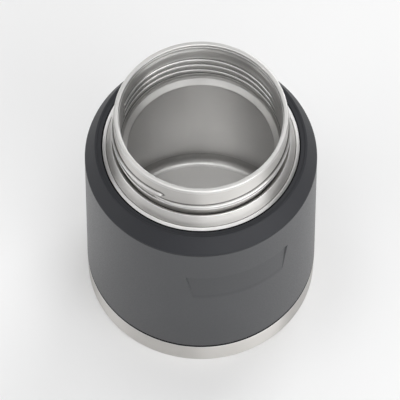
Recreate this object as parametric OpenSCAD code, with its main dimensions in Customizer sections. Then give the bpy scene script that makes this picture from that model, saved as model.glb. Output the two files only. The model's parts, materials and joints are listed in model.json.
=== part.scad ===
// Wide-mouth insulated food jar, stood on its base with the lid off.
// Two steel shells with a vacuum between them meet at the rim. The jar's axis is Z and the
// underside of the foot is at z = 0. All sizes are in millimetres and all angles in degrees.

/* [Jar] */
// Height from the foot to the top of the rim
jar_h = 135; // [130:1:180]
// Outside diameter of the painted body
body_d = 107; // [106:0.5:114]
// Thickness of the sheet steel of both shells
sheet = 0.6; // [0.5:0.05:0.7]

/* [Neck] */
// Outside diameter of the plain neck above the thread, and of the rim
neck_d = 80; // [79.6:0.1:80.4]
// Inside diameter of the plain mouth wall
mouth_d = 74.6; // [74.2:0.1:74.8]
// Smallest inside diameter, at the nose of the seat that the stopper presses on
throat_d = 67.4; // [64:0.1:68]
// Diameter of the steel lip that shows inside the grip collar
lip_d = 90.7; // [90:0.1:91.5]

/* [Threads] */
// Rise of each thread in one turn
thread_lead = 9; // [8:0.5:10]
// Number of threads side by side on the neck, and again inside it
thread_starts = 2; // [1:1:2]
// Crest diameter of the lid's thread on the outside of the neck
lid_thread_d = 82.4; // [81.6:0.1:82.6]
// Crest diameter of the stopper's thread inside the neck
stopper_thread_d = 72.8; // [72:0.1:73.4]
// Direction of the first upper end of the lid's thread, counted from +X
lid_thread_end = 244; // [0:1:359]
// Angle that each ridge of the stopper's thread runs round
stopper_ridge_angle = 140; // [90:1:150]

/* [Grip collar] */
// Height of the collar's sloped face
collar_h = 9.6; // [8:0.1:11]
// Depth of the collar's top edge below the top of the rim
collar_drop = 26; // [25.5:0.1:27]
// Diameter of the ridge where the collar's top meets its sloped face
collar_top_d = 97.8; // [96.5:0.1:99]

/* [Base] */
// Height of the bare steel cup around the foot
cup_h = 13.1; // [12:0.1:15]
// Height of the dark seal between the cup and the painted body
cup_seal_h = 0.9; // [0.4:0.1:0.9]

/* [Pressed panel] */
// Width of the panel's upper edge, straight across
panel_top_w = 50.2; // [40:0.1:56]
// Width of the panel's lower edge, straight across
panel_bottom_w = 44.4; // [30:0.1:56]
// Height of the panel
panel_h = 17.7; // [12:0.1:20]
// Height of the panel's lower edge above the foot
panel_z = 61.3; // [40:0.1:66]
// Depth of the panel's upper edge below the painted surface
panel_depth = 0.8; // [0.4:0.1:1]
// Depth of the panel's lower edge, where it runs out towards the surface
panel_foot_depth = 0.2; // [0.1:0.05:0.4]
// Direction of the panel's middle, counted from +X
panel_angle = 290.3; // [0:0.1:359]

/* [Hidden] */
$fn = 96;
arc_steps = 8;
eps = 0.02;
blend = 0.3;
cut = 1;

body_r = body_d / 2;
neck_r = neck_d / 2;
mouth_r = mouth_d / 2;
throat_r = throat_d / 2;
lip_r = lip_d / 2;

// Heights on the neck, all hung from the rim
rim_weld_z = jar_h - 1.5;
mouth_bevel_z = jar_h - 5.1;
mouth_bevel_h = 0.8;
mouth_wall_z = jar_h - 9.4;
thread_wall_z = jar_h - 23.8;
ledge_top_z = jar_h - 26.75;
ledge_foot_h = 1.35;
ring_z = jar_h - 14.05;
groove_top_z = jar_h - 14.7;
groove_bottom_z = jar_h - 21.1;
cone_top_z = jar_h - 19.2;
lip_z = jar_h - 25.7;
lip_foot_z = jar_h - 30;

// Radii on the neck
rim_inner_r = mouth_r + 0.45;
thread_wall_r = mouth_r - 0.2;
under_thread_r = mouth_r - 0.5;
ledge_top_r = mouth_r - 1.2;
ring_r = neck_r + 0.9;
ring_half_h = 0.55;
ring_half_angle = 70;
groove_r = neck_r - 0.5;
cone_top_r = neck_r + 1.1;
cone_foot_r = lip_r - 2;
lip_edge_r = 0.4;
rim_round_r = 0.45;

// Shoulder of the outer shell, hidden under the collar
collar_top_z = jar_h - collar_drop;
collar_bottom_z = collar_top_z - collar_h;
seat_depth = 1.8;
seat_r = body_r - seat_depth;
lap_r = lip_r + 3.6;
shoulder_slope = (lip_foot_z - collar_bottom_z) / (seat_r - lip_r);
lap_z = lip_foot_z - (lap_r - lip_r) * shoulder_slope;
body_edge_r = 0.4;
lap_w = 2;
collar_clear = 0.1;
collar_in_r = lip_r + 0.75;
collar_ridge_r = 0.6;
collar_ridge_w = 1.5;
collar_top_drop = 0.25;
collar_chamfer = 0.4;
collar_face_angle = 26;
collar_seal_drop = 0.6;

// Foot of the outer shell, inside the base cup
body_step_z = cup_h + cup_seal_h;
cup_clear = 0.25;
step_r = body_r - sheet - cup_clear;
outer_weld_z = 2.6;
cup_foot_w = 5;
cup_edge_r = 1;
cup_taper = 0.3;
cup_rise = 2.4;
cup_seal_inset = 0.1;
dish_z = 5;
dish_corner = 0.8;
flange_r = step_r - 2 * sheet;
port_r = 1;
dimple_r = 7;
dimple_wall = 1.5;
dimple_depth = 1.2;
bead_r = 2.6;
bead_proud = 0.2;

// Liner
vacuum_gap = 4.1;
liner_r = body_r - sheet - vacuum_gap;
floor_z = 12.6;
floor_corner_r = 5;
liner_weld_z = floor_z + floor_corner_r + 1.5;
nose_r = 1.2;
nose_top_angle = 137;
nose_z = ledge_top_z - 3.05;
bay_slope = 25;
bay_r = 11;
nose_bottom = [throat_r + nose_r - nose_r * sin(bay_slope), nose_z - nose_r * cos(bay_slope)];
bay_arc_r = liner_r - bay_r;
bay_top_r = bay_arc_r + bay_r * sin(bay_slope);
bay_z = nose_bottom[1] - (bay_top_r - nose_bottom[0]) * tan(bay_slope) - bay_r * cos(bay_slope);

// Threads
pitch = thread_lead / thread_starts;
ridge_root_w = 2;
ridge_crest_w = 0.8;
ridge_bury = 0.25;
ridge_steps = 28;
ridge_fade = 6;
ridge_tip = 0.6;
lid_thread_top_z = jar_h - 8.85;
lid_thread_turn = 185;
stopper_thread_z = jar_h - 12;
stopper_ridges = 3;

// Insulation and vacuum parts
foil_gap = 0.25;
foil_t = 0.1;
foil_margin = 4;
getter_x = 24;
getter_r = 5;
getter_h = 1.6;
clip_t = 0.4;
clip_w = 3;
clip_clear = 1;

panel_lip = 0.8;

// Points along a round stretch: c is its centre, r its radius, a and b its end angles.
function arc(c, r, a, b, n = arc_steps) =
    [for (i = [0:n]) c + r * [cos(a + (b - a) * i / n), sin(a + (b - a) * i / n)]];
function backwards(path) = [for (i = [len(path) - 1:-1:0]) path[i]];

// A turned ring whose outline is given as [radius, height].
module turned(outline) {
    rotate_extrude()
        polygon(outline);
}

// A plain ring between two radii and two heights.
module ring(r_in, r_out, z_low, z_high) {
    turned([[r_in, z_low], [r_out, z_low], [r_out, z_high], [r_in, z_high]]);
}

// Corners of a thread ridge's section at one angle, as points in space.
function ridge_section(root_r, crest_r, z, angle) =
    [for (p = [[root_r, -ridge_root_w / 2], [crest_r, -ridge_crest_w / 2],
               [crest_r, ridge_crest_w / 2], [root_r, ridge_root_w / 2]])
        [p[0] * cos(angle), p[0] * sin(angle), z + p[1]]];

// A helical ridge that starts at angle `from` and height z and runs `turn` degrees
// anticlockwise and upwards, with both ends run out into the wall. wall_r is the wall
// that it stands on, and crest_r is larger on the outside of a neck and smaller inside it.
module thread_ridge(wall_r, crest_r, z, from, turn) {
    outward = sign(crest_r - wall_r);
    root_r = wall_r - outward * ridge_bury;
    points = [for (i = [0:ridge_steps])
        let (along = turn * i / ridge_steps,
             fade = min(1, (min(along, turn - along) + ridge_tip) / ridge_fade))
        each ridge_section(root_r, root_r + (crest_r - root_r) * fade,
                           z + thread_lead * along / 360, from + along)];
    sides = [for (i = [0:ridge_steps - 1], j = [0:3])
        let (a = 4 * i + j, b = 4 * i + (j + 1) % 4)
        outward > 0 ? [b, b + 4, a + 4, a] : [a, a + 4, b + 4, b]];
    last = 4 * ridge_steps;
    caps = outward > 0
        ? [[3, 2, 1, 0], [last, last + 1, last + 2, last + 3]]
        : [[0, 1, 2, 3], [last + 3, last + 2, last + 1, last]];
    polyhedron(points, concat(sides, caps), convexity = 4);
}

// Solid trapezoid behind the pressed panel, reaching from the jar's axis outwards.
module panel_prism(margin) {
    rotate([0, 0, panel_angle])
        rotate([90, 0, 90])
            linear_extrude(height = body_d)
                polygon([[-panel_bottom_w / 2 - margin, panel_z - margin],
                         [panel_bottom_w / 2 + margin, panel_z - margin],
                         [panel_top_w / 2 + margin, panel_z + panel_h + margin],
                         [-panel_top_w / 2 - margin, panel_z + panel_h + margin]]);
}

// Outline of the painted shell, t in from its outer face. Here and below, the shares of t
// are the mitres at which an inner corner follows an outer one.
function body_line(t) = concat(
    [[step_r - t, outer_weld_z], [step_r - t, body_step_z + t * 0.7],
     [body_r - t, body_step_z + t * 1.3]],
    arc([body_r - body_edge_r, collar_bottom_z - body_edge_r], max(body_edge_r - t, eps), 0, 90),
    [[seat_r - t * 0.4, collar_bottom_z - t], [lap_r - t * 0.4, lap_z - t]]);

// Turned wedge from the panel's sloping floor, t in from it, out to radius r_out. It
// reaches `margin` past the panel's upper and lower edges.
module panel_wedge(t, r_out, margin) {
    turned([[body_r - panel_foot_depth - t, panel_z - margin], [r_out, panel_z - margin],
            [r_out, panel_z + panel_h + margin],
            [body_r - panel_depth - t, panel_z + panel_h + margin]]);
}

// Painted outer shell: the straight tube, the step into the base cup, the seat for the
// collar, and the panel pressed into its front.
module outer_body() {
    color("#5a5b5e")
    difference() {
        union() {
            turned(concat(body_line(0), backwards(body_line(sheet))));
            intersection() {
                panel_prism(panel_lip);
                panel_wedge(sheet, body_r - sheet / 2, panel_lip);
            }
        }
        intersection() {
            panel_prism(0);
            panel_wedge(0, body_r + cut, 0);
        }
    }
}

// Outer face of the bare neck, from the lap up to the rim.
neck_outside = concat(
    [[lap_r + lap_w, lap_z - lap_w * shoulder_slope - sheet], [lip_r, lip_foot_z - sheet]],
    arc([lip_r - lip_edge_r, lip_z - lip_edge_r], lip_edge_r, 0, 90),
    [[cone_foot_r + blend, lip_z], [cone_foot_r, lip_z + blend],
     [cone_top_r + blend / 2, cone_top_z - blend], [cone_top_r - blend / 2, cone_top_z],
     [groove_r, groove_bottom_z], [groove_r, groove_top_z]],
    arc([ring_r - ring_half_h, ring_z], ring_half_h, -ring_half_angle, ring_half_angle),
    [[neck_r, ring_z + ring_half_h + blend], [neck_r, rim_weld_z]]);

// Vacuum face of the bare neck, from the rim down to the lap.
neck_inside = [
    [neck_r - sheet, rim_weld_z], [neck_r - sheet, ring_z + ring_half_h + blend],
    [groove_r - sheet, ring_z], [groove_r - sheet, groove_bottom_z - sheet],
    [cone_top_r - blend, cone_top_z - blend - sheet],
    [cone_foot_r - sheet, lip_z - sheet / 2], [cone_foot_r, lip_z - sheet],
    [lip_r - sheet, lip_z - sheet - blend], [lip_r - sheet, lip_foot_z - sheet * 1.6],
    [lap_r + lap_w - sheet * 0.4, lap_z - lap_w * shoulder_slope - sheet * 2]];

// Bare upper part of the outer shell: lap, lip, cone, groove, thread and neck.
module outer_neck() {
    color("#c9c7c2")
    union() {
        turned(concat(neck_outside, neck_inside));
        for (i = [0:thread_starts - 1])
            thread_ridge(neck_r, lid_thread_d / 2,
                         lid_thread_top_z - thread_lead * lid_thread_turn / 360,
                         lid_thread_end - lid_thread_turn + i * 360 / thread_starts,
                         lid_thread_turn);
    }
}

// Welded and polished rim that closes the vacuum between the two necks.
module rim_weld() {
    color("#dddbd7")
    turned(concat(
        [[rim_inner_r, rim_weld_z], [neck_r, rim_weld_z]],
        arc([neck_r - rim_round_r, jar_h - rim_round_r], rim_round_r, 0, 90),
        arc([rim_inner_r + rim_round_r, jar_h - rim_round_r], rim_round_r, 90, 180)));
}

// Outline of the liner's upper part, t out from its inner face.
function liner_line(t) = concat(
    [[liner_r + t, liner_weld_z]],
    arc([bay_arc_r, bay_z], bay_r + t, 0, 90 - bay_slope),
    arc([throat_r + nose_r, nose_z], nose_r - t, 270 - bay_slope, nose_top_angle),
    [[ledge_top_r + t, ledge_top_z], [under_thread_r + t, ledge_top_z + ledge_foot_h],
     [under_thread_r + t, thread_wall_z], [thread_wall_r + t, thread_wall_z + blend],
     [thread_wall_r + t, mouth_wall_z - blend], [mouth_r + t, mouth_wall_z],
     [mouth_r + t, mouth_bevel_z], [rim_inner_r + t, mouth_bevel_z + mouth_bevel_h],
     [rim_inner_r + t, rim_weld_z]]);

// Inner vessel down to its bottom weld: mouth, stopper thread, stopper seat and food bay.
module liner_body() {
    color("#b9b7b2")
    union() {
        turned(concat(liner_line(0), backwards(liner_line(sheet))));
        for (i = [0:stopper_ridges - 1], side = [0:thread_starts - 1])
            thread_ridge(thread_wall_r, stopper_thread_d / 2,
                         stopper_thread_z - i * pitch - thread_lead * stopper_ridge_angle / 720,
                         90 - stopper_ridge_angle / 2 + side * 360 / thread_starts,
                         stopper_ridge_angle);
    }
}

// Outline of the liner's bottom, t out from its inner face.
function floor_line(t) = concat(
    [[0, floor_z - t]],
    arc([liner_r - floor_corner_r, floor_z + floor_corner_r], floor_corner_r + t, 270, 360),
    [[liner_r + t, liner_weld_z]]);

// Drawn bottom of the inner vessel, welded on below the food bay.
module liner_bottom() {
    color("#b9b7b2")
    turned(concat(floor_line(0), backwards(floor_line(sheet))));
}

// Moulded grip collar, snapped over the shoulder of the outer shell.
module grip_collar() {
    color("#3b3c3f")
    turned(concat(
        [[collar_in_r, lip_foot_z - (collar_in_r - lip_r) * shoulder_slope + collar_clear],
         [seat_r + collar_clear, collar_bottom_z + collar_clear],
         [body_r - blend, collar_bottom_z + collar_clear],
         [body_r, collar_bottom_z + collar_clear + blend]],
        arc([collar_top_d / 2 - collar_ridge_r, collar_top_z - collar_ridge_r],
            collar_ridge_r, collar_face_angle, 90),
        [[collar_top_d / 2 - collar_ridge_w, collar_top_z - collar_top_drop],
         [collar_in_r + collar_chamfer, collar_top_z - collar_top_drop],
         [collar_in_r, collar_top_z - collar_top_drop - collar_chamfer]]));
}

// Soft seal in the gap between the steel lip and the grip collar.
module collar_seal() {
    color("#111214")
    ring(lip_r, collar_in_r, lip_foot_z + blend, collar_top_z - collar_seal_drop);
}

// Outline of the base cup, t in from its outer face.
function cup_line(t) = concat(
    [[0, cup_rise + t], [body_r - cup_foot_w - cup_rise - t * 0.4, cup_rise + t],
     [body_r - cup_foot_w - t * 0.4, t]],
    arc([body_r - cup_taper - cup_edge_r, cup_edge_r], cup_edge_r - t, 270, 360),
    [[body_r - t, cup_h]]);

// Bare steel cup that covers the vacuum bottom and stands on its rounded foot.
module base_cup() {
    color("#c4c1bb")
    turned(concat(cup_line(0), backwards(cup_line(sheet))));
}

// Dark seal with a rounded edge between the base cup and the painted shell.
module base_seal() {
    color("#141416")
    turned(concat([[step_r, cup_h]],
                  arc([body_r - cup_seal_inset - cup_seal_h / 2, cup_h + cup_seal_h / 2],
                      cup_seal_h / 2, -90, 90),
                  [[step_r, body_step_z]]));
}

// Outline of the dished vacuum bottom, t up from its underside.
function dish_line(t) = concat(
    [[port_r, dish_z + dimple_depth + t],
     [dimple_r - dimple_wall - t * 0.5, dish_z + dimple_depth + t],
     [dimple_r - t * 0.5, dish_z + t], [flange_r - dish_corner, dish_z + t],
     [flange_r + t, dish_z - dish_corner + t * 0.4], [flange_r + t, outer_weld_z]]);

// Bottom of the outer shell, welded into its lower edge, with the evacuation port.
module vacuum_bottom() {
    color("#aaa8a4")
    turned(concat(dish_line(0), backwards(dish_line(sheet))));
}

// Solder-glass bead that plugs the evacuation port in its dimple.
module seal_bead() {
    color("#6f7f86")
    turned([[0, dish_z + bead_proud], [port_r * 2, dish_z + 2 * bead_proud],
            [bead_r, dish_z + dimple_depth], [port_r, dish_z + dimple_depth],
            [port_r, dish_z + dimple_depth + sheet],
            [0, dish_z + dimple_depth + sheet + bead_proud]]);
}

// Spring-steel clip, spot-welded to the vacuum bottom, that holds the getter.
module getter_clip() {
    color("#8d8f92")
    translate([getter_x, 0, dish_z + sheet])
        difference() {
            translate([-getter_r - clip_clear - clip_t, -clip_w / 2, 0])
                cube([2 * (getter_r + clip_clear + clip_t), clip_w, getter_h + 2 * clip_t]);
            translate([-getter_r - clip_clear, -clip_w / 2 - cut, clip_t])
                cube([2 * (getter_r + clip_clear), clip_w + 2 * cut, getter_h]);
        }
}

// Getter pellet that soaks up the last gas in the vacuum.
module getter_pellet() {
    color("#5f5e5c")
    translate([getter_x, 0, dish_z + sheet + clip_t])
        cylinder(r = getter_r, h = getter_h);
}

// Bright foil round the liner, which turns radiant heat back.
module foil_wrap() {
    color("#d9d9dc")
    ring(liner_r + sheet + foil_gap, liner_r + sheet + foil_gap + foil_t,
         liner_weld_z + foil_margin / 2, bay_z - foil_margin);
}

// Bright foil under the liner's bottom.
module foil_disc() {
    color("#d9d9dc")
    translate([0, 0, floor_z - sheet - foil_gap - foil_t])
        cylinder(r = liner_r - floor_corner_r, h = foil_t);
}

outer_body();
outer_neck();
rim_weld();
liner_body();
liner_bottom();
grip_collar();
collar_seal();
base_cup();
base_seal();
vacuum_bottom();
seal_bead();
getter_clip();
getter_pellet();
foil_wrap();
foil_disc();
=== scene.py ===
# %% [markdown]
# # An insulated food jar, stood open
#
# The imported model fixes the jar: a painted steel shell, a bare threaded neck, a moulded grip collar,
# a steel cup at the foot, and a second steel vessel inside with a vacuum round it. This lesson makes
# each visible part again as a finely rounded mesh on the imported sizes, and gives every part the
# finish that its factory process leaves on it.

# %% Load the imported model
import json
import math

import bmesh
import bpy
import numpy as np
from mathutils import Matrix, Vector


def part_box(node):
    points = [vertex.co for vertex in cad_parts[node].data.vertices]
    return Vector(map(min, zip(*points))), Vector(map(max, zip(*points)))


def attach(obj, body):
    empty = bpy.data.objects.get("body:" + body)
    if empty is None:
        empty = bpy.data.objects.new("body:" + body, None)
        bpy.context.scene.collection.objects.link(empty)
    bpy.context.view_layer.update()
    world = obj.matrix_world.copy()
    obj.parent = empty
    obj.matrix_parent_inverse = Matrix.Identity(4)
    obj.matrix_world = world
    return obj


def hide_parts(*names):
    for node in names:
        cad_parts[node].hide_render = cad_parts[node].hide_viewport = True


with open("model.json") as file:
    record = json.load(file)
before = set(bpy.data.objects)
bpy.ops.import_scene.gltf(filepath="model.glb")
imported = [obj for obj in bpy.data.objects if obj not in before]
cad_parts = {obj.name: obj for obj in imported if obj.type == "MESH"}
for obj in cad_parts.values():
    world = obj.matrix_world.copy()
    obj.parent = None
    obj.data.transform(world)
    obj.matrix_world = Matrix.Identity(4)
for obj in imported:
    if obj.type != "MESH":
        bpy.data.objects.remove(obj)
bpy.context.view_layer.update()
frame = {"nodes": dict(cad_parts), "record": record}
print("packed parts:", len(frame["nodes"]))

# %% [markdown]
# ## The camera
#
# The jar is looked at from well above, so that its mouth opens towards the viewer. A long lens from
# three metres away keeps the straight sides nearly parallel. The camera comes first, because every
# later choice is judged through it.

# %% Place the camera
view_elevation = math.radians(60.3)
camera_distance = 3.066
look_at = Vector((-0.00044, 0, 0.058))
back_to_camera = Vector((0, -math.cos(view_elevation), math.sin(view_elevation)))
camera = bpy.data.objects.new("camera", bpy.data.cameras.new("camera"))
camera.data.sensor_width = 36
camera.data.lens = 592.5
camera.location = look_at + camera_distance * back_to_camera
camera.rotation_euler = (math.pi / 2 - view_elevation, 0, 0)
bpy.context.scene.collection.objects.link(camera)
bpy.context.scene.camera = camera
print("camera stands at", [round(x, 3) for x in camera.location])

# %% [markdown]
# ## Sizes
#
# A jar is a stack of rings, so a few radii and heights say nearly everything about it. They are read
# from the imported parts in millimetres, and the smaller steps further down hang from them.

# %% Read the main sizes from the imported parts
mm = 0.001


def box(node_name):
    """Lowest height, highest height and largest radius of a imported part, in millimetres."""
    low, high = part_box(node_name)
    return low.z / mm, high.z / mm, high.x / mm


foot_z, cup_top, body_r = box("base_cup")
seal_top = box("base_seal")[1]
collar_foot, collar_top, collar_r = box("grip_collar")
gasket_foot, gasket_top, gasket_r = box("collar_seal")
lap_foot, neck_top, lap_r = box("outer_neck")
weld_foot, rim_top, neck_r = box("rim_weld")
vessel_foot, vessel_weld, vessel_r = box("liner_bottom")
mounts = {mount["name"]: mount["dims"] for mount in frame["record"]["mounts"]}
mouth_r = mounts["rim_bore"]["r_mm"]
sheet_t = 0.6
print("jar:", rim_top, "high,", 2 * body_r, "across, mouth", 2 * mouth_r)

# %% [markdown]
# ## Nodes from one helper
#
# Materials and Geometry Nodes are both graphs. One helper adds a node, sets its options and fills
# its sockets: a value becomes the socket's own value, and another node's output becomes a link.

# %% A helper that adds a node
def add(tree, kind, sockets=(), **settings):
    """Adds a node to a tree and returns its outputs. Sockets are {name or number: value or output}."""
    made = tree.nodes.new(kind)
    for name, value in settings.items():
        setattr(made, name, value)
    for name, value in dict(sockets).items():
        if isinstance(value, bpy.types.NodeSocket):
            tree.links.new(value, made.inputs[name])
        else:
            made.inputs[name].default_value = value
    return made.outputs


def linear(hex_colour):
    """Linear colour of an sRGB hex colour such as 'c9c7c2'."""
    levels = [int(hex_colour[i:i + 2], 16) / 255 for i in (0, 2, 4)]
    return [x / 12.92 if x <= 0.04045 else ((x + 0.055) / 1.055) ** 2.4 for x in levels] + [1]


def new_material(name):
    """A material with an empty node tree, and that tree."""
    material = bpy.data.materials.new(name)
    material.use_nodes = True
    material.node_tree.nodes.clear()
    return material, material.node_tree


print("dark grey", [round(x, 3) for x in linear("5a5b5e")])

# %% [markdown]
# ## Brushed and turned steel
#
# The bare parts are stainless steel that was held against an abrasive belt while it turned, so its
# scratches run round the axis. Such grain spreads a reflection up and down but hardly sideways, which
# is why a turned part shows bright and dark streaks along its axis. The shader's anisotropy makes
# that spread, and a noise that is stretched round the axis draws the scratches. Between its scratches
# the metal is smooth along the axis and only a little wavy round it, so a share of a second surface
# is mixed in, with its spread turned sideways: it draws the fine crisp lines along every ridge and
# edge. Light and shade are also painted into the steel's colour: a paler painted highlight on every
# crest and on a lip where one is given, and a darker painted shade in every crease. Ambient occlusion
# could find creases, but it blurs over whole faces. Each piece stores how far its mesh bends out or
# in instead, and the painted shade and highlight are complete where that reaches full_bend.
#
# Coordinates on the unit circle keep the noise seamless all the way round. Real scratches are a few
# hundredths of a millimetre wide, which is too fine to show, so they are drawn about half a
# millimetre wide.

# %% The steel finishes
# The bend at which the painted shade in the creases and the painted highlight on the crests are complete,
# and how dark that painted shade is as a share of the steel's colour.
full_bend = 0.057
crease_shade_share = 0.3
uneven = 0.08
smooth_share = 0.4
smooth_roughness = 0.8
smooth_spread = 0.6
no_lip = 1000


def turned_steel(name, colour, roughness, streak, highlight_colour="ecebea", lip_r=no_lip,
                 grain_mm=0.5, arc_mm=9, depth_mm=0.004):
    """Stainless steel brushed round the Z axis. streak is how far reflections spread along it, and
    highlight_colour is the painted highlight on crests and on the lip beyond lip_r; creases get a
    painted shade. grain_mm is a scratch's width, arc_mm its length round the neck and depth_mm its depth."""
    material, tree = new_material(name)
    place = add(tree, "ShaderNodeTexCoord")["Object"]
    along = add(tree, "ShaderNodeSeparateXYZ", {0: place})
    flat = add(tree, "ShaderNodeVectorMath", {0: place, 1: (1, 1, 0)}, operation="MULTIPLY")[0]
    circle = add(tree, "ShaderNodeVectorMath", {0: flat}, operation="NORMALIZE")[0]
    radius = add(tree, "ShaderNodeVectorMath", {0: flat}, operation="LENGTH")["Value"]
    across = add(tree, "ShaderNodeMath", {0: radius, 1: along["Z"]}, operation="ADD")[0]
    across = add(tree, "ShaderNodeMath", {0: across, 1: 1 / (grain_mm * mm)}, operation="MULTIPLY")[0]
    around = add(tree, "ShaderNodeVectorMath", {0: circle, "Scale": neck_r / arc_mm},
                 operation="SCALE")[0]
    across = add(tree, "ShaderNodeCombineXYZ", {"Z": across})[0]
    grain_place = add(tree, "ShaderNodeVectorMath", {0: around, 1: across}, operation="ADD")[0]
    grain = add(tree, "ShaderNodeTexNoise",
                {"Vector": grain_place, "Scale": 1, "Detail": 3, "Roughness": 0.65})[0]
    polish = add(tree, "ShaderNodeMapRange",
                 {"Value": grain, 1: 0.25, 2: 0.75, 3: roughness - uneven, 4: roughness + uneven})[0]
    relief = add(tree, "ShaderNodeBump",
                 {"Strength": 1, "Distance": depth_mm * mm, "Height": grain})[0]
    tangent = add(tree, "ShaderNodeTangent", direction_type="RADIAL", axis="Z")[0]
    # Painted shade darkens the creases, and a painted highlight lightens the crests and the lip, by how
    # far the mesh bends there.
    bend = add(tree, "ShaderNodeAttribute", attribute_name="bend")["Fac"]
    crease_shade = add(tree, "ShaderNodeMapRange", {"Value": bend, 1: -full_bend, 2: 0, 3: 1, 4: 0})[0]
    crest_highlight = add(tree, "ShaderNodeMapRange", {"Value": bend, 1: 0, 2: full_bend, 3: 0, 4: 1})[0]
    lip_highlight = add(tree, "ShaderNodeMath", {0: radius, 1: lip_r * mm}, operation="GREATER_THAN")[0]
    highlight_share = add(tree, "ShaderNodeMath", {0: crest_highlight, 1: lip_highlight}, operation="MAXIMUM")[0]
    # The crests and the lip take the paler painted-highlight colour, and the creases a darker
    # painted-shade copy of the steel's colour.
    satin = linear(colour)
    crease_shade_colour = [level * crease_shade_share for level in satin[:3]] + [1]
    shade = add(tree, "ShaderNodeMix", {0: highlight_share, 6: satin, 7: linear(highlight_colour)}, data_type="RGBA")[2]
    shade = add(tree, "ShaderNodeMix", {0: crease_shade, 6: shade, 7: crease_shade_colour}, data_type="RGBA")[2]
    brushed = add(tree, "ShaderNodeBsdfPrincipled",
                  {"Base Color": shade, "Metallic": 1, "Roughness": polish, "Normal": relief,
                   "Anisotropic": streak, "Anisotropic Rotation": 0.25, "Tangent": tangent})[0]
    between = add(tree, "ShaderNodeBsdfPrincipled",
                  {"Base Color": shade, "Metallic": 1, "Roughness": roughness * smooth_roughness,
                   "Normal": relief, "Anisotropic": smooth_spread, "Tangent": tangent})[0]
    steel = add(tree, "ShaderNodeMixShader", {0: smooth_share, 1: brushed, 2: between})[0]
    add(tree, "ShaderNodeOutputMaterial", {"Surface": steel})
    return material


# The neck has long soft streaks, and a painted highlight on its crests and on its lip.
neck_steel = turned_steel("turned_satin_stainless_steel", "d2d0cd", roughness=0.46, streak=0.98,
                          lip_r=43.6)
# The ground weld is a pale ring, nearly even all the way round; the colour painted on its crests as
# highlight is a little darker than its own.
rim_steel = turned_steel("polished_stainless_weld", "dad9d7", roughness=0.38, streak=0.1,
                         highlight_colour="d6d5d3", depth_mm=0.002)
# Electropolishing takes the scratches' edges off, so the vessel is paler and its streaks are softer.
vessel_steel = turned_steel("electropolished_stainless_steel", "e6e5e3", roughness=0.38, streak=0.88,
                            grain_mm=0.8, arc_mm=14)
# The cup is left as the belt leaves it, and shows a darker and warmer grey.
cup_steel = turned_steel("brushed_stainless_steel", "c8c5c1", roughness=0.44, streak=0.97)
print("steel finishes:", neck_steel.name, rim_steel.name, vessel_steel.name, cup_steel.name)

# %% [markdown]
# ## Paint, plastic and rubber
#
# The body is powder coated: dry paint is baked until it flows, and it keeps a very fine ripple that
# dulls its gloss. The collar is moulded polypropylene with an even, fine spark-eroded texture, and it
# is darker and flatter than the paint. The gaskets are silicone rubber, nearly black and without
# gloss, and their black also paints the shade in the seams where they sit. All three are dielectrics,
# so they share one recipe: a plain colour with a slight cloudiness, a roughness that wanders a little,
# and a bump at the scale of the ripple or the mould's texture.

# %% The coated and moulded finishes
cloud_mm = 30
cloud = 0.12
gloss_change = 0.05


def moulded(name, colour, roughness, specular, ripple_mm, depth_mm):
    """A coated, moulded or rubber surface with a fine ripple and a faint cloudiness."""
    material, tree = new_material(name)
    place = add(tree, "ShaderNodeTexCoord")["Object"]
    clouds = add(tree, "ShaderNodeTexNoise",
                 {"Vector": place, "Scale": 1 / (cloud_mm * mm), "Detail": 2})[0]
    base = linear(colour)
    shades = [[level * share for level in base[:3]] + [1] for share in (1 - cloud, 1 + cloud)]
    shade = add(tree, "ShaderNodeMix", {0: clouds, 6: shades[0], 7: shades[1]}, data_type="RGBA")[2]
    ripple = add(tree, "ShaderNodeTexNoise",
                 {"Vector": place, "Scale": 1 / (ripple_mm * mm), "Detail": 2, "Roughness": 0.5})[0]
    gloss = add(tree, "ShaderNodeMapRange",
                {"Value": ripple, 1: 0.3, 2: 0.7,
                 3: roughness - gloss_change, 4: roughness + gloss_change})[0]
    relief = add(tree, "ShaderNodeBump",
                 {"Strength": 1, "Distance": depth_mm * mm, "Height": ripple})[0]
    surface = add(tree, "ShaderNodeBsdfPrincipled",
                  {"Base Color": shade, "Roughness": gloss, "Normal": relief,
                   "Specular IOR Level": specular})[0]
    add(tree, "ShaderNodeOutputMaterial", {"Surface": surface})
    return material


# The paint is a dark grey with a dull sheen that pales towards the jar's edges.
body_paint = moulded("charcoal_powder_coat", "333437", roughness=0.38, specular=0.55,
                     ripple_mm=0.6, depth_mm=0.006)
# The plastic is darker and has hardly a sheen, so the collar parts the paint from the steel.
collar_plastic = moulded("moulded_polypropylene", "292a2e", roughness=0.55, specular=0.3,
                         ripple_mm=0.35, depth_mm=0.01)
# The rubber shows as a black line, which also paints the shade in the seams.
rubber_and_seam_shade = moulded("silicone_rubber_and_seam_shade", "0d0d0f", roughness=0.75, specular=0.15,
                        ripple_mm=0.5, depth_mm=0.01)
print("coated and moulded finishes:", body_paint.name, collar_plastic.name, rubber_and_seam_shade.name)

# %% [markdown]
# ## Parts sealed in the vacuum
#
# Nobody sees the evacuation port, the getter or the foil unless the jar is cut open, but they still
# get their own finish: dull mill steel as it comes from the roll, dark and glossy solder glass,
# rough sintered metal powder, and bright foil whose crumples break up what it mirrors.

# %% The finishes inside the vacuum
mill_steel = turned_steel("mill_finish_stainless_steel", "b4b3b0", roughness=0.4, streak=0.3,
                          grain_mm=1.5, arc_mm=4)
solder_glass = moulded("solder_glass", "2a3236", roughness=0.12, specular=0.5,
                       ripple_mm=2, depth_mm=0.02)
getter_powder = moulded("sintered_getter_metal", "5b5a57", roughness=0.8, specular=0.5,
                        ripple_mm=0.3, depth_mm=0.03)
bright_foil = turned_steel("aluminium_foil", "e6e6e8", roughness=0.2, streak=0.1,
                           grain_mm=4, arc_mm=4, depth_mm=0.1)
print("hidden finishes:", mill_steel.name, solder_glass.name, getter_powder.name, bright_foil.name)
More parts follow.
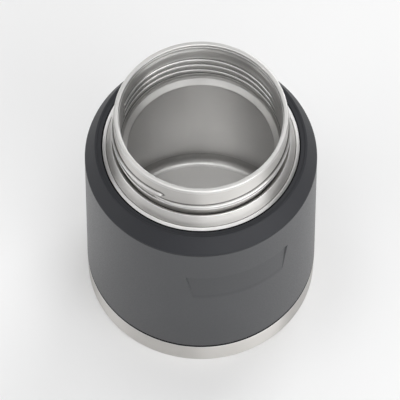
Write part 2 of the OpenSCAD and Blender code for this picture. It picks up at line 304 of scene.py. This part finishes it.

# %% [markdown]
# ## Turning a part from its outline
#
# Spun, drawn and moulded-round parts are all one outline turned about the axis. An outline is a short
# list of corners, each with a radius from the axis, a height and a rounding, and a small arc replaces
# each rounded corner: the thin highlight along such an edge is what makes metal look like metal. A
# holding point just before and after each arc keeps its bend, and the painted shade or highlight that
# the steel draws on it, from spreading over the flat beside it. A larger arc takes more steps, but
# none finer than a few degrees. A sheet-metal wall is one face and the same face moved by the sheet's
# thickness.

# %% Outlines: rounded corners and sheet walls
hold = 0.12
first_steps = 4
steps_per_mm = 6
finest_step = math.radians(2.6)
straight = 1e-6


def rounded(corners, closed):
    """Points along corners (radius, height, rounding) in mm, with each rounding drawn as an arc, and
    a holding point before and after it where the stretch is long enough."""
    corners = np.array(corners, float)
    places = corners[:, :2]
    stretches = np.roll(places, -1, axis=0) - places
    lengths = np.linalg.norm(stretches, axis=1)
    to_next = stretches / lengths[:, None]
    to_last = -np.roll(to_next, 1, axis=0)
    half = np.arccos(np.clip(np.sum(to_last * to_next, axis=1), -1, 1)) / 2
    cut = corners[:, 2] / np.tan(half)
    if not closed:
        cut[[0, -1]] = 0
    held = lengths - cut - np.roll(cut, -1) > 3 * hold
    path = []
    for i, here in enumerate(places):
        if cut[i] == 0:
            path.append(here)
            continue
        rounding = corners[i, 2]
        inward = (to_last[i] + to_next[i]) / np.linalg.norm(to_last[i] + to_next[i])
        centre = here + inward * rounding / math.sin(half[i])
        spoke = here + to_last[i] * cut[i] - centre
        way = np.sign(to_next[i, 0] * to_last[i, 1] - to_next[i, 1] * to_last[i, 0])
        arc = math.pi - 2 * half[i]
        steps = min(first_steps + int(steps_per_mm * rounding), math.ceil(arc / finest_step))
        if held[i - 1]:
            path.append(here + to_last[i] * (cut[i] + hold))
        for share in np.linspace(0, 1, steps + 1):
            turn = way * share * arc
            rotation = np.array(((math.cos(turn), -math.sin(turn)), (math.sin(turn), math.cos(turn))))
            path.append(centre + rotation @ spoke)
        if held[i]:
            path.append(here + to_next[i] * (cut[i] + hold))
    return np.array(path)


def sheet(face, thickness, whole=False):
    """Corners of a sheet wall: its face, then the face moved to the left of its own way by the
    thickness. Plain points on a straight stretch aren't repeated there, unless it is whole."""
    face = np.array(face, float)
    ways = np.diff(face[:, :2], axis=0)
    ways /= np.linalg.norm(ways, axis=1)[:, None]
    left = np.stack([-ways[:, 1], ways[:, 0]], -1)
    before = np.vstack([left[:1], left])
    after = np.vstack([left, left[-1:]])
    bend = before[:, 0] * after[:, 1] - before[:, 1] * after[:, 0]
    back = face.copy()
    back[:, :2] += thickness * (before + after) / (1 + np.sum(before * after, axis=1))[:, None]
    back[:, 2] = np.where(face[:, 2] > 0, np.maximum(face[:, 2] - thickness * np.sign(bend), 0), 0)
    kept = (np.abs(bend) > straight) | whole
    kept[[0, -1]] = True
    return np.vstack([face, back[kept][::-1]])


def wall(radius, low, high, step):
    """Plain corners up a straight wall, so that its surface can be shaped afterwards."""
    return [(radius, z, 0) for z in np.linspace(low, high, 1 + round((high - low) / step))]


print("a rounded square has", len(rounded([(9, 0, 1), (10, 0, 1), (10, 5, 1), (9, 5, 1)], True)), "points")

# %% [markdown]
# The outline becomes a mesh by standing copies of it round the axis and joining them with faces.
# Points that meet on the axis are merged, so that a bottom closes to a clean pole. Edges sharper than
# 40 degrees stay crisp, and all others shade smoothly.
#
# The finished mesh then stores its bends, from which the steel paints shade into its creases and a
# highlight onto its crests: a neighbour that lies below a point's tangent plane tells a crest, and one
# above it a crease. Cycles has a Pointiness value for this, but it can join points that only lie close
# together, and a stored value works in any renderer.

# %% Turn an outline into a mesh
def all_round(columns):
    """Angles of evenly spaced columns all the way round the axis."""
    return np.linspace(0, 2 * math.pi, columns, endpoint=False)


evenly_round = all_round(256)
crisp_angle = math.radians(40)
merge_distance = 1e-6


def turned(name, corners, material, angles=evenly_round, reshape=None):
    """A solid turned about the Z axis from corners (radius, height, rounding) in mm."""
    closed = corners[0][0] > 0
    radius, height = rounded(corners, closed).T
    angle, radius = np.meshgrid(angles, radius)
    height = np.repeat(height[:, None], len(angles), axis=1)
    if reshape:
        angle, radius = reshape(angle, radius, height)
    points = mm * np.stack([radius * np.cos(angle), radius * np.sin(angle), height], -1)
    grid = np.arange(angle.size).reshape(angle.shape)
    grid = np.hstack([grid, grid[:, :1]])
    if closed:
        grid = np.vstack([grid, grid[:1]])
    faces = np.stack([grid[:-1, :-1], grid[:-1, 1:], grid[1:, 1:], grid[1:, :-1]], -1)
    mesh = bpy.data.meshes.new(name)
    mesh.from_pydata(points.reshape(-1, 3), [], faces.reshape(-1, 4).tolist())
    work = bmesh.new()
    work.from_mesh(mesh)
    bmesh.ops.remove_doubles(work, verts=work.verts, dist=merge_distance)
    bmesh.ops.recalc_face_normals(work, faces=work.faces)
    work.to_mesh(mesh)
    work.free()
    mesh.shade_smooth()
    mesh.set_sharp_from_angle(angle=crisp_angle)
    mesh.materials.append(material)
    piece = bpy.data.objects.new(name, mesh)
    bpy.context.scene.collection.objects.link(piece)
    return piece


def mark_bends(piece):
    """Stores how far the mesh bends at each point: above 0 on a crest and below 0 in a crease."""
    mesh = piece.data
    points = np.empty((len(mesh.vertices), 3), np.float32)
    normals = np.empty_like(points)
    ends = np.empty((len(mesh.edges), 2), np.int32)
    mesh.vertices.foreach_get("co", points.ravel())
    mesh.vertices.foreach_get("normal", normals.ravel())
    mesh.edges.foreach_get("vertices", ends.ravel())
    ends = np.vstack([ends, ends[:, ::-1]])
    ways = points[ends[:, 1]] - points[ends[:, 0]]
    ways /= np.linalg.norm(ways, axis=1)[:, None]
    drop = -np.sum(ways * normals[ends[:, 0]], axis=1)
    neighbours = np.bincount(ends[:, 0])
    bend = np.bincount(ends[:, 0], drop) / neighbours
    bend = (bend + np.bincount(ends[:, 0], bend[ends[:, 1]])) / (1 + neighbours)
    mesh.attributes.new("bend", "FLOAT", "POINT").data.foreach_set("value", bend)


def fit(piece, node):
    """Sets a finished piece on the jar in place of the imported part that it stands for."""
    mark_bends(piece)
    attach(piece, "root")
    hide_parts(node)
    print(piece.name, "stands for", node, "with", len(piece.data.polygons), "faces")


# %% [markdown]
# ## The painted body and its pressed panel
#
# The body is a drawn steel tube. A shallow panel is pressed into its front, 50 mm wide at the top and
# narrower below. Its floor runs out towards the surface at its lower edge, so the sides are deepest
# at their upper ends. The panel could be cut with a boolean, but that leaves ragged shading on a
# curved wall. Instead the mesh's own columns lean along the panel's slanted sides, and the points
# between them move inwards, as the press moved the metal.

# %% The pressed panel's rule
panel_direction = math.radians(290.3)
panel_low, panel_high = 61.3, 79.0
panel_half_low, panel_half_high = 22.2, 25.1
panel_depth_low, panel_depth_high = 0.12, 0.85
panel_side_w = 0.4
panel_upper_edge_h = 0.5
panel_lower_edge_h = 3.5


def smooth_step(x):
    """0 below 0 and 1 above 1, with a smooth rise between."""
    x = np.clip(x, 0, 1)
    return x * x * (3 - 2 * x)


def panel_half_angle(height):
    """Half the angle that the panel takes up at a height."""
    half_w = np.interp(height, (panel_low, panel_high), (panel_half_low, panel_half_high))
    return np.arcsin(half_w / body_r)


panel_edge = float(panel_half_angle((panel_low + panel_high) / 2))
panel_side = panel_side_w / body_r


def press_panel(angle, radius, height):
    """Leans the mesh's columns along the panel's sides and presses its floor in. The upper edge ends
    at panel_high, and the lower edge lies half above and half below panel_low."""
    side = np.abs(angle)
    edge = panel_half_angle(height)
    leaned = np.where(side < panel_edge, side * edge / panel_edge,
                      edge + (side - panel_edge) * (math.pi - edge) / (math.pi - panel_edge))
    depth = np.interp(height, (panel_low, panel_high), (panel_depth_low, panel_depth_high))
    depth = depth * smooth_step((panel_high - height) / panel_upper_edge_h)
    depth = depth * smooth_step((height - panel_low) / panel_lower_edge_h + 0.5)
    depth = depth * smooth_step((panel_edge - side) / panel_side)
    return panel_direction + np.sign(angle) * leaned, radius - depth


side_columns = panel_edge - panel_side * np.linspace(-0.4, 1.4, 8)
body_columns = np.concatenate([evenly_round - math.pi, side_columns, -side_columns])
body_columns = np.unique(body_columns.round(5))
print("panel half angle", round(math.degrees(panel_edge), 1), "degrees,", len(body_columns), "columns")

# %% [markdown]
# The foot of the tube steps in behind the cup and leaves a gap above it for the gasket, whose black
# also paints the seam's shadow line. Its top turns in under the collar, and the two rounded edges that
# meet there leave a fine seam between them. The wall has plain rows where the panel is pressed in, and
# they lie closer along its upper edge.

# %% The painted body
body_step = 0.85
# The seam stands 0.3 mm above the seal's top, so that more of the black gasket shows as the seam's painted
# shadow line.
seam_top = seal_top + 0.3
body_low = box("outer_body")[0]
body_high = box("outer_body")[1]
collar_seat_r = body_r - 1.8
seat_gap = 0.1
body_edge = 0.4
panel_margin = 2
panel_row = 0.6
panel_edge_row = 0.125
body_face = [
    (body_r - body_step, body_low, 0),
    (body_r - body_step, seam_top, 0.2),
    (body_r, seam_top, 0.15),
    *wall(body_r, panel_low - panel_margin, panel_high - panel_upper_edge_h, panel_row),
    *wall(body_r, panel_high - panel_upper_edge_h * 0.75, panel_high + panel_upper_edge_h,
          panel_edge_row),
    (body_r, collar_foot - seat_gap, body_edge),
    (collar_seat_r, collar_foot - seat_gap, 0.2),
    (lap_r - 2, body_high, 0),
]
painted_body = turned("painted_body", sheet(body_face, sheet_t, whole=True), body_paint,
                      body_columns, press_panel)
fit(painted_body, "outer_body")

# %% [markdown]
# ## The foot: steel cup and gasket
#
# A bare steel cup is pressed over the foot, with a rounded edge that the jar stands on and a raised
# middle so that it doesn't rock. A thin black gasket fills the step between cup and paint, and its
# black also paints the seam's shadow line. The cup's free edge is rounded, because it shows as a
# bright line under the gasket.

# %% The foot cup and its gasket
foot_r = body_r - 0.3
foot_ring_w = 4.7
foot_rise = 2.4
foot_round = 1
cup_edge = cup_top - 0.35
cup_face = [
    (0, foot_z + foot_rise, 0),
    (foot_r - foot_ring_w - foot_rise, foot_z + foot_rise, 0.8),
    (foot_r - foot_ring_w, foot_z, 0.7),
    (foot_r, foot_z, foot_round),
    (body_r, cup_edge, 0.15),
]
foot_cup = turned("foot_cup", sheet(cup_face, sheet_t), cup_steel)
fit(foot_cup, "base_cup")

# The gasket's black is partly a real seal and partly the seam's painted shadow line.
foot_gasket_r = body_r - 0.05
foot_gasket = turned("foot_gasket", [
    (body_r - body_step, cup_edge, 0),
    (foot_gasket_r, cup_edge, 0.1),
    (foot_gasket_r, seam_top, 0.1),
    (body_r - body_step, seam_top, 0),
], rubber_and_seam_shade)
fit(foot_gasket, "base_seal")

# %% [markdown]
# ## The grip collar and the lip gasket
#
# The collar snaps over the shoulder. Its sloped face rises to a fine ridge, and the flat top inside
# the ridge lies a quarter of a millimetre lower. A soft gasket stands back in the gap between the
# collar and the steel lip. Its inner edge rises up the lip's wall as a dark sheet, which paints the
# gap's shade onto the steel.

# %% The grip collar and the lip gasket
ridge_r = collar_r - 4.7
ridge_w = 0.9
ridge_h = 0.25
gasket_t = 0.75
lip_r = gasket_r - gasket_t
lip_top = rim_top - 25.7
lip_foot = rim_top - 30
gap_w = 0.45
gasket_drop = 0.3
# How far the gasket's inner edge rises up the lip: a dark sheet that paints shade into the gap.
lip_shade_rise = 0.75
collar_in_r = lip_r + gap_w
shoulder_slope = (lip_foot - collar_foot) / (collar_seat_r - lip_r)
grip_ring = turned("grip_ring", [
    (collar_in_r, lip_foot - gap_w * shoulder_slope + seat_gap, 0),
    (collar_seat_r + seat_gap, collar_foot, 0),
    (collar_r, collar_foot, 0.35),
    (ridge_r, collar_top, 0.6),
    (ridge_r - ridge_w, collar_top, 0.3),
    (ridge_r - ridge_w - ridge_h, collar_top - ridge_h, 0.3),
    (collar_in_r, collar_top - ridge_h, 0.15),
], collar_plastic)
fit(grip_ring, "grip_collar")

lip_gasket = turned("lip_gasket", [
    (lip_r, gasket_foot, 0),
    (collar_in_r, gasket_foot, 0),
    (collar_in_r, gasket_top - gasket_drop, 0.1),
    # This corner carries the gasket up the lip's wall as painted shade.
    (lip_r, gasket_top + lip_shade_rise, 0.05),
], rubber_and_seam_shade)
fit(lip_gasket, "collar_seal")

# %% [markdown]
# ## Rolling a thread
#
# A sheet-metal thread isn't cut: rollers push a rounded ridge out of the wall. Geometry Nodes can do
# the same. The tree takes a finely divided wall and works out, for each point, how far back round the
# axis the thread's upper end is, and so at what height the ridge passes there. From the point's
# distance to the ridge's middle line it then works out how far to move it: nearly the full height on
# the broad crest, and less and less down two soft flanks. The ridge's upper end closes in a round tip,
# and its lower end runs out into the wall. The jar uses the tree twice: on the neck, where two starts
# run half a turn each for the lid, and inside the mouth, where three short ridges on each side hold
# the stopper.

# %% The rolled-thread node tree
tip_angle = math.radians(6)
run_out_angle = math.radians(14)
crest_power = 4.0
flank_power = 1.5
wall_tolerance = 2e-5


def rolled_thread_tree(name, rows):
    """A tree that pushes helical ridges out of a round wall. rows is how many pass over each place."""
    tree = bpy.data.node_groups.new(name, "GeometryNodeTree")
    tree.interface.new_socket("Wall", in_out="INPUT", socket_type="NodeSocketGeometry")
    for title in ("Wall radius", "Crest height", "Half width", "Lead", "Starts", "Upper end height",
                  "Upper end angle", "Turn", "Row turn", "Row drop"):
        tree.interface.new_socket(title, in_out="INPUT", socket_type="NodeSocketFloat")
    tree.interface.new_socket("Material", in_out="INPUT", socket_type="NodeSocketMaterial")
    tree.interface.new_socket("Threaded wall", in_out="OUTPUT", socket_type="NodeSocketGeometry")

    def calculate(operation, *values):
        return add(tree, "ShaderNodeMath", enumerate(values), operation=operation)[0]

    given = add(tree, "NodeGroupInput")
    place = add(tree, "GeometryNodeInputPosition")[0]
    flat = add(tree, "ShaderNodeVectorMath", {0: place, 1: (1, 1, 0)}, operation="MULTIPLY")[0]
    outward = add(tree, "ShaderNodeVectorMath", {0: flat}, operation="NORMALIZE")[0]
    radius = add(tree, "ShaderNodeVectorMath", {0: flat}, operation="LENGTH")["Value"]
    x, y, z = add(tree, "ShaderNodeSeparateXYZ", {0: place})
    sector = calculate("DIVIDE", 2 * math.pi, given["Starts"])
    rise = calculate("DIVIDE", given["Lead"], 2 * math.pi)
    back = calculate("SUBTRACT", given["Upper end angle"], calculate("ARCTAN2", y, x))
    back = calculate("WRAP", back, calculate("SUBTRACT", sector, tip_angle), -tip_angle)
    ridge = 0.0
    for row in range(rows):
        gone = calculate("MULTIPLY_ADD", given["Row turn"], row, back)
        fall = calculate("MULTIPLY_ADD", gone, rise, calculate("MULTIPLY", given["Row drop"], row))
        above = calculate("SUBTRACT", z, calculate("SUBTRACT", given["Upper end height"], fall))
        past = calculate("MAXIMUM", calculate("MULTIPLY", gone, -1),
                         calculate("SUBTRACT", gone, given["Turn"]))
        beyond = calculate("MULTIPLY", calculate("MAXIMUM", past, 0.0), radius)
        distance = calculate("SQRT", calculate("MULTIPLY_ADD", above, above,
                                               calculate("MULTIPLY", beyond, beyond)))
        share = calculate("MINIMUM", calculate("DIVIDE", distance, given["Half width"]), 1.0)
        fall_off = calculate("POWER", share, crest_power)
        swell = calculate("POWER", calculate("SUBTRACT", 1.0, fall_off), flank_power)
        left = calculate("DIVIDE", calculate("SUBTRACT", given["Turn"], gone), run_out_angle)
        swell = calculate("MULTIPLY", swell, calculate("MINIMUM", calculate("MAXIMUM", left, 0.0), 1.0))
        ridge = calculate("MAXIMUM", ridge, swell)
    push = calculate("MULTIPLY", ridge, given["Crest height"])
    offset = add(tree, "ShaderNodeVectorMath", {0: outward, "Scale": push}, operation="SCALE")[0]
    on_wall = add(tree, "FunctionNodeCompare",
                  {0: radius, 1: given["Wall radius"], "Epsilon": wall_tolerance},
                  data_type="FLOAT", operation="EQUAL")[0]
    moved = add(tree, "GeometryNodeSetPosition",
                {"Geometry": given["Wall"], "Selection": on_wall, "Offset": offset})[0]
    real = add(tree, "GeometryNodeRealizeInstances", {0: moved})[0]
    done = add(tree, "GeometryNodeSetMaterial", {0: real, "Material": given["Material"]})[0]
    add(tree, "NodeGroupOutput", {0: done})
    return tree


def roll_thread(piece, tree, **inputs):
    """Rolls the tree's thread into a piece, which stays a plain mesh."""
    modifier = piece.modifiers.new("rolled_thread", "NODES")
    modifier.node_group = tree
    sockets = {item.name: item.identifier for item in tree.interface.items_tree if item.in_out == "INPUT"}
    for title, value in inputs.items():
        modifier[sockets[title.replace("_", " ").capitalize()]] = value
    modifier[sockets["Material"]] = piece.data.materials[0]
    graph = bpy.context.evaluated_depsgraph_get()
    mesh = bpy.data.meshes.new_from_object(piece.evaluated_get(graph))
    piece.modifiers.clear()
    piece.data = mesh
    return piece


lead = 9
thread_starts = 2
pitch = lead / thread_starts
thread_row = 0.16
print("thread: lead", lead, "mm,", thread_starts, "starts")

# %% [markdown]
# ## The bare neck
#
# The neck is drawn from the same tube as the body and turned to a satin finish. From the collar up it
# has a low-crowned lip with a fine notch inside it, a cone, a groove that leans in under a thin bead,
# the lid's thread and a plain band below the rim. It takes many columns for the thread's round tip,
# as many as keep the mesh under 200,000 triangles.

# %% The neck and the lid's thread
cone_foot_r = lip_r - 2
cone_foot = lip_top + 0.35
cone_top_r = neck_r + 1.2
cone_top = rim_top - 19.25
groove_r = neck_r - 0.1
groove_lean = 1.3
groove_foot = rim_top - 22.7
bead_r = neck_r + 0.75
bead_z = rim_top - 14.55
bead_half = 0.35
neck_columns = 400
neck_face = [
    (lap_r, lap_foot + sheet_t, 0),
    (lip_r, lip_foot - sheet_t, 0.8),
    (lip_r, lip_top - 0.5, 0.3),
    (lip_r - 1.1, lip_top + 0.1, 0.4),
    (cone_foot_r + 0.4, lip_top, 0.15),
    (cone_foot_r + 0.15, lip_top - 0.2, 0.1),
    (cone_foot_r, cone_foot, 0.1),
    (cone_top_r, cone_top, 0.3),
    (groove_r - groove_lean, groove_foot, 0.2),
    (groove_r, bead_z - bead_half, 0.1),
    (bead_r, bead_z - bead_half, 0.2),
    (bead_r, bead_z + bead_half, 0.3),
    (neck_r, bead_z + bead_half, 0.15),
    *wall(neck_r, bead_z + bead_half + thread_row, weld_foot - thread_row, thread_row),
    (neck_r, neck_top, 0.12),
]
bare_neck = turned("bare_neck", sheet(neck_face, sheet_t), neck_steel,
                   all_round(neck_columns))

lid_ridge_h = 1.2
lid_ridge_half_w = 1.2
lid_thread_top = rim_top - 8.85
lid_thread_end = math.radians(242.5)
lid_thread_turn = math.radians(185)
lid_thread_tree = rolled_thread_tree("lid_thread", rows=2)
roll_thread(bare_neck, lid_thread_tree, wall_radius=neck_r * mm, crest_height=lid_ridge_h * mm,
            half_width=lid_ridge_half_w * mm, lead=lead * mm, starts=thread_starts,
            upper_end_height=lid_thread_top * mm, upper_end_angle=lid_thread_end,
            turn=lid_thread_turn, row_turn=2 * math.pi / thread_starts, row_drop=0.0)
fit(bare_neck, "outer_neck")

# %% [markdown]
# ## The rim
#
# The two vessels are welded edge to edge at the rim, and the weld is ground round and polished. It
# shows as two fine bright rings with a softer band between them.

# %% The polished rim
rim_round = 0.6
weld_step = 0.3
polished_rim = turned("polished_rim", [
    (mouth_r - weld_step, weld_foot, 0.08),
    (neck_r, weld_foot, 0.12),
    (neck_r, rim_top, rim_round),
    (mouth_r, rim_top, 0.45),
    (mouth_r, weld_foot + 0.2, 0.1),
], rim_steel)
fit(polished_rim, "rim_weld")

# %% [markdown]
# ## The inner vessel
#
# Inside the mouth come a fine step, a rolled bead, a plain wall, the stopper's interrupted thread and
# a cone that the stopper's gasket presses on. The cone ends in a rounded nose, and behind it the wall
# swings out to the full width of the food bay. The vessel's bottom is a separate drawn cup, welded on.

# %% The inner vessel and the stopper's thread
plain_r = mouth_r - 0.45
stopper_wall_r = mouth_r - 0.65
stopper_wall_top = rim_top - 9.4
stopper_wall_foot = rim_top - 23.8
under_thread_r = mouth_r - 0.95
seat_top = rim_top - 26.75
nose_r, nose_z = 32.9, 104.81
bay_r = vessel_r - sheet_t
bay_shoulder = 97.4
vessel_columns = 300
vessel_face = [
    (mouth_r - weld_step, weld_foot, 0),
    (mouth_r - weld_step, rim_top - 2.2, 0.15),
    (mouth_r - 0.05, rim_top - 2.6, 0.15),
    (mouth_r - 0.1, rim_top - 3.1, 0.3),
    (plain_r - 0.2, rim_top - 4.4, 0.7),
    (plain_r - 0.2, rim_top - 5.6, 0.3),
    (plain_r, rim_top - 6.1, 0.2),
    (plain_r, stopper_wall_top, 0.1),
    *wall(stopper_wall_r, stopper_wall_foot + 0.4, stopper_wall_top - 0.4, thread_row)[::-1],
    (under_thread_r, stopper_wall_foot, 0.1),
    (under_thread_r, seat_top + 1.35, 0.5),
    (mouth_r - 1.65, seat_top, 0.3),
    (nose_r, nose_z, 1.2),
    (bay_r, bay_shoulder, 11),
    (bay_r, vessel_weld, 0),
]
inner_vessel = turned("inner_vessel", sheet(vessel_face, sheet_t), vessel_steel,
                      all_round(vessel_columns))

stopper_ridge_h = 0.7
stopper_ridge_half_w = 1.05
stopper_ridge_z = rim_top - 11.95
stopper_ridge_middle = 90
stopper_ridge_half_turn = 70
stopper_thread_tree = rolled_thread_tree("stopper_thread", rows=3)
roll_thread(inner_vessel, stopper_thread_tree, wall_radius=stopper_wall_r * mm,
            crest_height=-stopper_ridge_h * mm, half_width=stopper_ridge_half_w * mm,
            lead=lead * mm, starts=thread_starts,
            upper_end_height=(stopper_ridge_z + lead * stopper_ridge_half_turn / 360) * mm,
            upper_end_angle=math.radians(stopper_ridge_middle + stopper_ridge_half_turn),
            turn=math.radians(2 * stopper_ridge_half_turn), row_turn=0.0, row_drop=pitch * mm)
fit(inner_vessel, "liner_body")

vessel_floor = vessel_foot + sheet_t
floor_round = 5
vessel_bottom = turned("vessel_bottom", sheet([
    (0, vessel_floor, 0),
    (bay_r, vessel_floor, floor_round),
    (bay_r, vessel_weld, 0),
], -sheet_t), vessel_steel)
fit(vessel_bottom, "liner_bottom")

# %% [markdown]
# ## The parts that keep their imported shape
#
# The parts sealed between the shells are right as they are, so they only take their finishes.

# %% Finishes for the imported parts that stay
kept_parts = {
    "vacuum_bottom": mill_steel,
    "getter_clip": mill_steel,
    "seal_bead": solder_glass,
    "getter_pellet": getter_powder,
    "foil_wrap": bright_foil,
    "foil_disc": bright_foil,
}
for part_name, finish in kept_parts.items():
    for slot in frame["nodes"][part_name].material_slots:
        slot.material = finish
print("kept as packed:", ", ".join(kept_parts))

# %% [markdown]
# ## Floor and light
#
# A pale paper floor runs out under the jar, a hair below the foot. Its fibres are drawn about three
# millimetres long, coarser than real ones, so that they show at all.
#
# The light is a studio set of ten softboxes with a faint, even sky as fill. Each stretch of turned
# steel mirrors what stands at its own angle, so the boxes stand all round the jar. The low ones draw
# the bright streaks on the neck and the cup, the high ones light the lip, the collar and the paint,
# those behind light the mouth, and the large one overhead lights the floor and the rim.

# %% The floor
floor_half = 6
floor_gap = 0.0001
fibres_per_metre = 300
paper, paper_tree = new_material("matt_white_paper")
paper_place = add(paper_tree, "ShaderNodeTexCoord")["Object"]
paper_fibres = add(paper_tree, "ShaderNodeTexNoise",
                   {"Vector": paper_place, "Scale": fibres_per_metre, "Detail": 3})[0]
paper_relief = add(paper_tree, "ShaderNodeBump",
                   {"Strength": 0.2, "Distance": 0.0001, "Height": paper_fibres})[0]
paper_surface = add(paper_tree, "ShaderNodeBsdfPrincipled",
                    {"Base Color": linear("f2f2f2"), "Roughness": 0.9, "Specular IOR Level": 0.2,
                     "Normal": paper_relief})[0]
add(paper_tree, "ShaderNodeOutputMaterial", {"Surface": paper_surface})
floor_mesh = bpy.data.meshes.new("floor")
floor_mesh.from_pydata([(x * floor_half, y * floor_half, -floor_gap)
                        for x, y in ((-1, -1), (1, -1), (1, 1), (-1, 1))], [], [(0, 1, 2, 3)])
floor_mesh.materials.append(paper)
floor = bpy.data.objects.new("floor", floor_mesh)
bpy.context.scene.collection.objects.link(floor)
print("floor:", 2 * floor_half, "m wide, in", paper.name)

# %% The lights
light_distance = 1.4


def softbox(name, azimuth, elevation, width, height, radiance):
    """An area light that looks at the jar. Azimuth is counted from +X, so the front is -90."""
    lamp = bpy.data.lights.new(name, "AREA")
    lamp.shape = "RECTANGLE"
    lamp.size = width
    lamp.size_y = height
    lamp.energy = radiance * math.pi * width * height
    light = bpy.data.objects.new(name, lamp)
    a, e = math.radians(azimuth), math.radians(elevation)
    away = Vector((math.cos(a) * math.cos(e), math.sin(a) * math.cos(e), math.sin(e)))
    light.location = look_at + light_distance * away
    light.rotation_mode = "QUATERNION"
    light.rotation_quaternion = away.to_track_quat("Z", "Y")
    bpy.context.scene.collection.objects.link(light)


# Name, azimuth and elevation in degrees, width and height in metres, and radiance.
softboxes = (
    ("overhead_softbox", -90, 87, 0.9, 0.9, 3.3),
    ("key_softbox", -42, 12, 0.85, 0.5, 5.6),
    ("front_softbox", -76, 12, 0.75, 0.5, 3.8),
    ("high_front_softbox", -120, 35, 1.5, 0.55, 0.95),
    ("high_right_softbox", -48, 35, 1.5, 0.55, 1.15),
    ("left_softbox", -165, 12, 0.75, 0.5, 2.6),
    ("high_left_softbox", -165, 50, 0.8, 0.6, 1),
    ("back_left_softbox", 118, 12, 1.4, 0.5, 2.9),
    ("high_back_softbox", 75, 60, 2, 0.7, 0.4),
    ("back_right_softbox", 60, 36, 0.8, 0.55, 4.6),
)
for settings in softboxes:
    softbox(*settings)
sky = bpy.data.worlds.new("even_sky")
sky.use_nodes = True
sky.node_tree.nodes["Background"].inputs["Color"].default_value = linear("f2f2f2")
sky.node_tree.nodes["Background"].inputs["Strength"].default_value = 0.08
bpy.context.scene.world = sky
bpy.context.scene.view_settings.view_transform = "Standard"
print("lights:", [light.name for light in bpy.data.lights])
